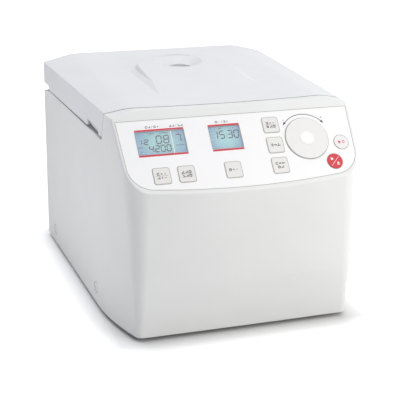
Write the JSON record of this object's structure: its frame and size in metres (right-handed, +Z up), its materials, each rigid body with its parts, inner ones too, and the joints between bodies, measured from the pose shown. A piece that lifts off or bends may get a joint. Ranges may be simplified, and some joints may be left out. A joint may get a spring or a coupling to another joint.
{
  "type": "bench centrifuge",
  "caption": "Benchtop plate centrifuge: boxy white case with a sloping keypad panel, hinged lid with a raised viewing port, and a plate rotor spinning in a steel bowl.",
  "frame": {"origin": "centre of the footprint at bench level, under the feet", "axes": "+X to the right as seen from the front, +Y from the control panel to the rear, +Z up"},
  "size_m": [0.295, 0.3717, 0.2533],
  "materials": {
    "case_white": "fine satin",
    "lid_white": "fine satin",
    "overlay_white": "smooth satin film",
    "key_grey": "smooth satin",
    "dial_grey": "smooth satin",
    "start_grey": "smooth satin",
    "stop_red": "satin gloss",
    "screen_lens": "clear",
    "screen_teal": "flat screen",
    "board_green": "lacquered board",
    "black_plastic": "fine matt",
    "port_clear": "clear",
    "tube_grey": "satin",
    "rubber_dark": "matt",
    "rubber_grey": "matt",
    "steel": "brushed",
    "stainless": "polished",
    "zinc_sheet": "zinc plated",
    "rear_paint": "fine powder coat",
    "deck_grey": "fine satin",
    "rotor_alloy": "anodised satin",
    "motor_alloy": "die cast"
  },
  "bodies": {
    "housing": {"housing_shell": "case_white", "membrane_overlay": "overlay_white", "display_windows": "screen_lens", "display_modules": "zinc_sheet", "display_glass": "screen_teal", "control_board": "board_green", "dial_encoder": "black_plastic", "hinge_brackets": "zinc_sheet", "hinge_pins": "steel", "top_deck": "deck_grey", "deck_screws": "steel", "lock_housing": "zinc_sheet", "lock_motor": "black_plastic", "chamber_bowl": "stainless", "guard_ring": "zinc_sheet", "shaft_boot": "rubber_dark", "motor_housing": "motor_alloy", "motor_stator": "steel", "motor_bearings": "steel", "motor_plate": "zinc_sheet", "vibration_mounts": "rubber_dark", "mount_bolts": "steel", "imbalance_switch": "black_plastic", "base_plate": "zinc_sheet", "base_feet": "rubber_dark", "base_screws": "steel", "side_caps": "case_white", "rear_panel": "rear_paint", "rear_screws": "steel", "power_inlet": "black_plastic", "switch_frame": "black_plastic", "line_filter": "zinc_sheet", "power_board": "board_green", "supply_board": "board_green"},
    "lid": {"lid_cover": "lid_white", "lid_liner": "deck_grey", "lid_screws": "steel", "lid_gasket": "rubber_grey", "port_collar": "lid_white", "port_window": "port_clear", "port_tube": "tube_grey", "lid_striker": "steel", "lid_hinges": "steel"},
    "rotor": {"motor_shaft": "steel", "rotor_body": "rotor_alloy", "rotor_hub": "rotor_alloy", "rotor_nut": "steel"},
    "lock": {"lock_hook": "steel"},
    "dial": {"dial_wheel": "dial_grey", "dial_centre": "overlay_white"},
    "rocker": {"power_rocker": "black_plastic"},
    "drawer": {"fuse_drawer": "black_plastic"},
    "key_speed": {"key_speed": "key_grey"},
    "key_ramp": {"key_ramp": "key_grey"},
    "key_time": {"key_time": "key_grey"},
    "key_program": {"key_program": "key_grey"},
    "key_store": {"key_store": "key_grey"},
    "key_quick": {"key_quick": "key_grey"},
    "button_start": {"button_start": "start_grey"},
    "button_stop": {"button_stop": "stop_red"}
  },
  "joints": [
    {"name": "lid_hinge", "type": "hinge", "parent": "housing", "child": "lid", "pos_m": [0, 0.165, 0.2165], "axis": [-1, 0, 0], "range_deg": [0, 75]},
    {"name": "rotor_spin", "type": "hinge", "parent": "housing", "child": "rotor", "pos_m": [0, 0.068, 0.098], "axis": [0, 0, 1], "continuous": true},
    {"name": "lock_swing", "type": "hinge", "parent": "housing", "child": "lock", "pos_m": [0, -0.064, 0.166], "axis": [1, 0, 0], "range_deg": [0, 22]},
    {"name": "dial_turn", "type": "hinge", "parent": "housing", "child": "dial", "pos_m": [0.0768, -0.1504, 0.20569], "axis": [0, -0.7478, 0.6639], "continuous": true},
    {"name": "rocker_tilt", "type": "hinge", "parent": "housing", "child": "rocker", "pos_m": [0.052, 0.176, 0.047], "axis": [1, 0, 0], "range_deg": [0, 20]},
    {"name": "drawer_slide", "type": "slide", "parent": "housing", "child": "drawer", "axis": [0, 1, 0], "range_m": [0, 0.018]},
    {"name": "key_speed_press", "type": "slide", "parent": "housing", "child": "key_speed", "axis": [0, 0.7478, -0.6639], "range_m": [0, 0.0006], "stiffness_N_per_m": 800},
    {"name": "key_ramp_press", "type": "slide", "parent": "housing", "child": "key_ramp", "axis": [0, 0.7478, -0.6639], "range_m": [0, 0.0006], "stiffness_N_per_m": 800},
    {"name": "key_time_press", "type": "slide", "parent": "housing", "child": "key_time", "axis": [0, 0.7478, -0.6639], "range_m": [0, 0.0006], "stiffness_N_per_m": 800},
    {"name": "key_program_press", "type": "slide", "parent": "housing", "child": "key_program", "axis": [0, 0.7478, -0.6639], "range_m": [0, 0.0006], "stiffness_N_per_m": 800},
    {"name": "key_store_press", "type": "slide", "parent": "housing", "child": "key_store", "axis": [0, 0.7478, -0.6639], "range_m": [0, 0.0006], "stiffness_N_per_m": 800},
    {"name": "key_quick_press", "type": "slide", "parent": "housing", "child": "key_quick", "axis": [0, 0.7478, -0.6639], "range_m": [0, 0.0006], "stiffness_N_per_m": 800},
    {"name": "button_start_press", "type": "slide", "parent": "housing", "child": "button_start", "axis": [0, 0.7478, -0.6639], "range_m": [0, 0.0006], "stiffness_N_per_m": 800},
    {"name": "button_stop_press", "type": "slide", "parent": "housing", "child": "button_stop", "axis": [0, 0.7478, -0.6639], "range_m": [0, 0.0006], "stiffness_N_per_m": 800}
  ]
}
